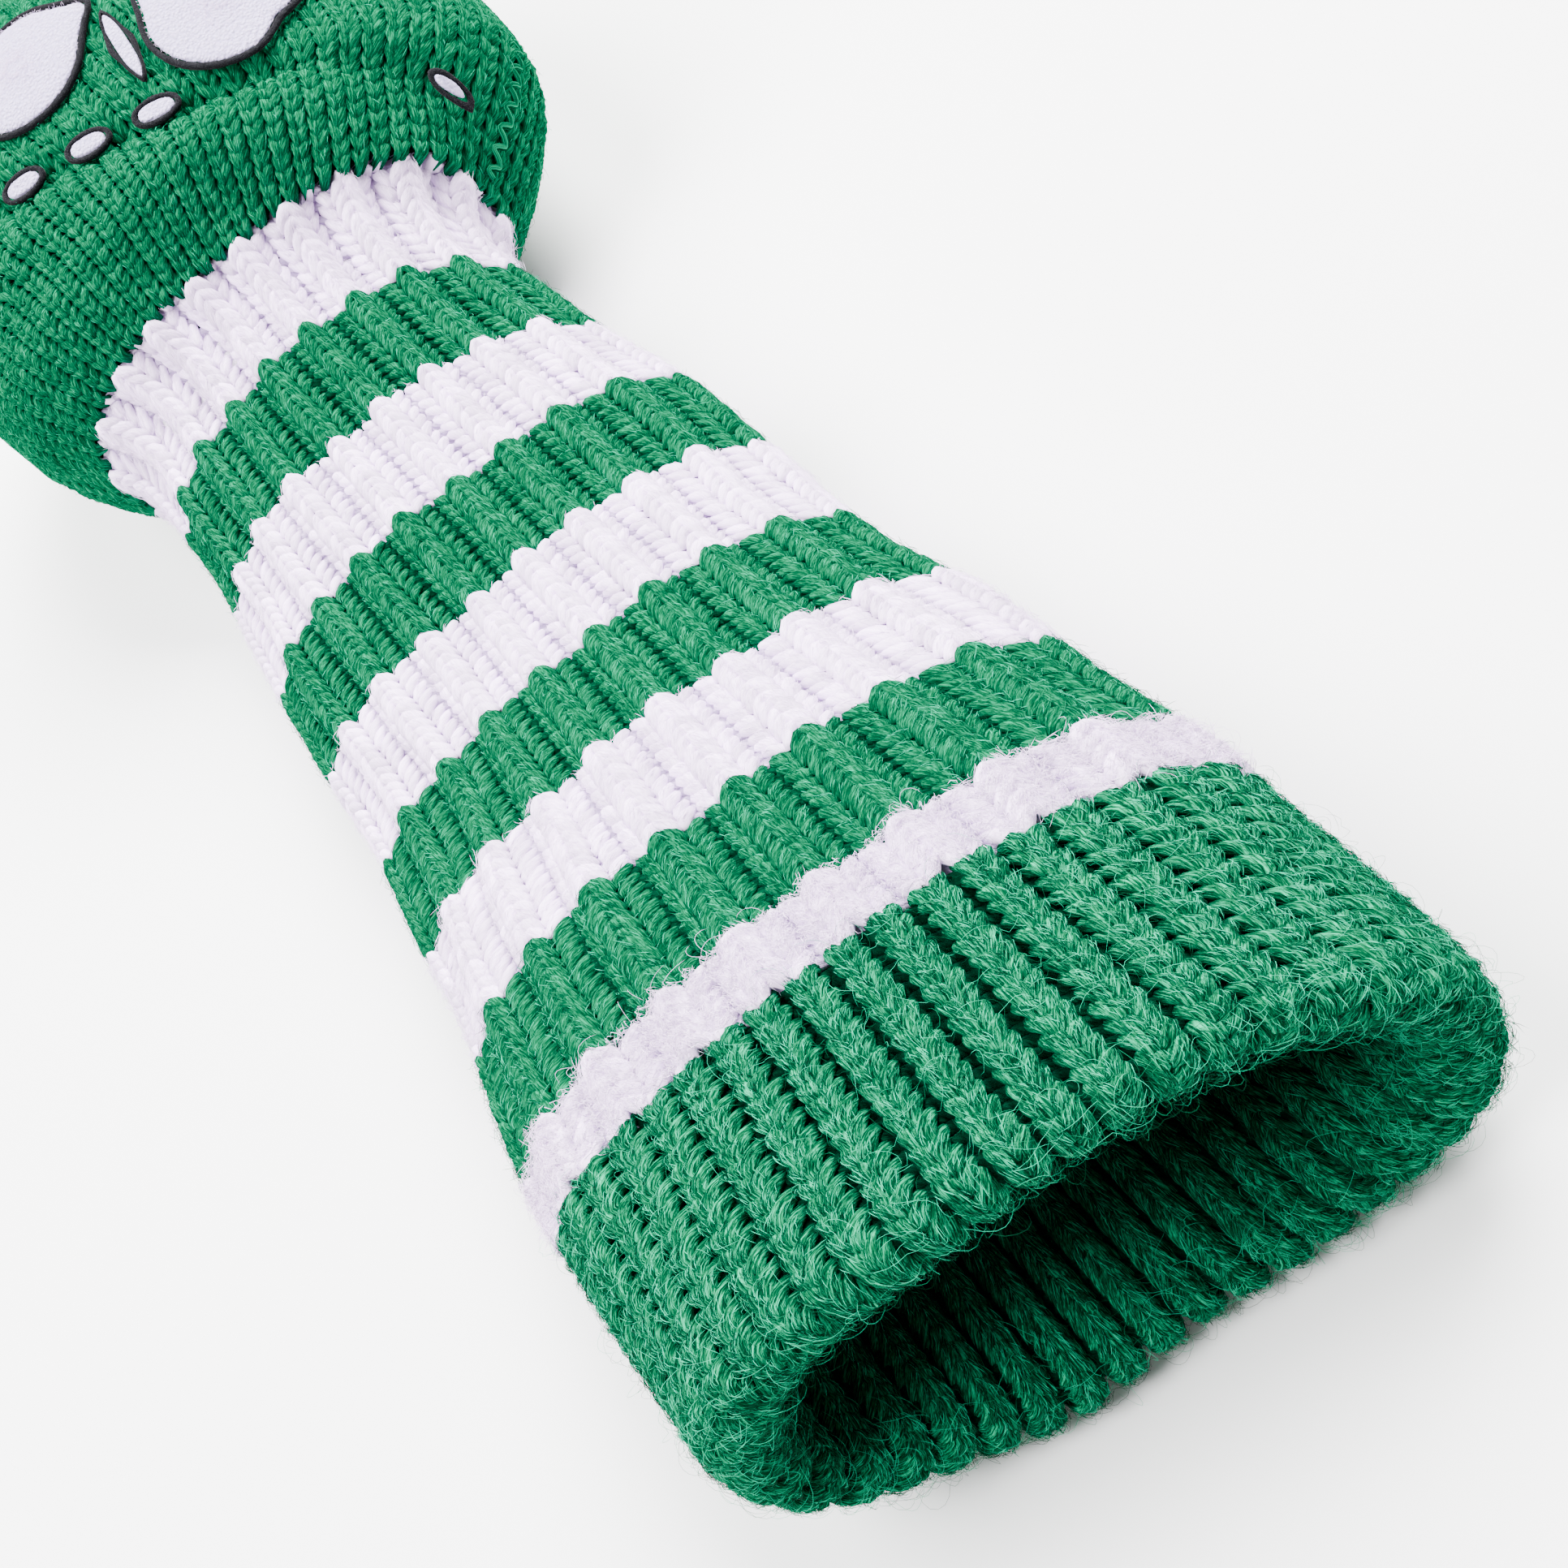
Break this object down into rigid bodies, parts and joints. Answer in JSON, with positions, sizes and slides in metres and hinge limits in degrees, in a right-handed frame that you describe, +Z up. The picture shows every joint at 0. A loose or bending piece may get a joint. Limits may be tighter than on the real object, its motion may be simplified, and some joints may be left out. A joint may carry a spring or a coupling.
{
  "type": "driver head cover",
  "caption": "Long knitted sock cover for a golf driver: padded head with a clover motif, pinched neck, striped ribbed sleeve and an open turned-in cuff.",
  "frame": {"origin": "on the table, under the middle of the cover's bounding box", "axes": "+Y from the mouth to the crown, +Z up out of the clover side, +X to the right when looking from the mouth to the crown"},
  "size_m": [0.1454, 0.4128, 0.091],
  "materials": {
    "green_rib": "ribbed acrylic knit, hairy",
    "head_green": "ribbed acrylic knit, hairy",
    "white_rib": "ribbed acrylic knit, hairy",
    "motif_white": "fine flat knit",
    "motif_black": "satin stitch",
    "lining_fleece": "brushed fleece",
    "elastic": "woven elastic"
  },
  "bodies": {
    "root": {"head_front_panel": "head_green", "head_back_panel": "head_green", "side_seam_left": "head_green", "side_seam_right": "head_green", "crown_gather": "head_green", "lining_front": "lining_fleece", "lining_back": "lining_fleece", "lining_binding": "head_green", "neck_white_band": "white_rib", "neck_elastic": "elastic", "sleeve_green_band_1": "green_rib", "sleeve_green_band_2": "green_rib", "sleeve_green_band_3": "green_rib", "sleeve_green_band_4": "green_rib", "sleeve_white_band_2": "white_rib", "sleeve_white_band_3": "white_rib", "sleeve_white_band_4": "white_rib", "sleeve_white_band_5": "white_rib", "cuff_outer": "green_rib", "cuff_hem": "green_rib", "hem_stitch": "head_green", "clover_leaf_left": "motif_white", "clover_leaf_right": "motif_white", "clover_leaf_top": "motif_white", "clover_edging_left": "motif_black", "clover_edging_right": "motif_black", "clover_edging_top": "motif_black", "clover_stem": "motif_white", "clover_stem_edging": "motif_black", "dash_1": "motif_white", "dash_2": "motif_white", "dash_3": "motif_white", "dash_4": "motif_white", "dash_5": "motif_white", "dash_edging_1": "motif_black", "dash_edging_2": "motif_black", "dash_edging_3": "motif_black", "dash_edging_4": "motif_black", "dash_edging_5": "motif_black"}
  },
  "joints": []
}
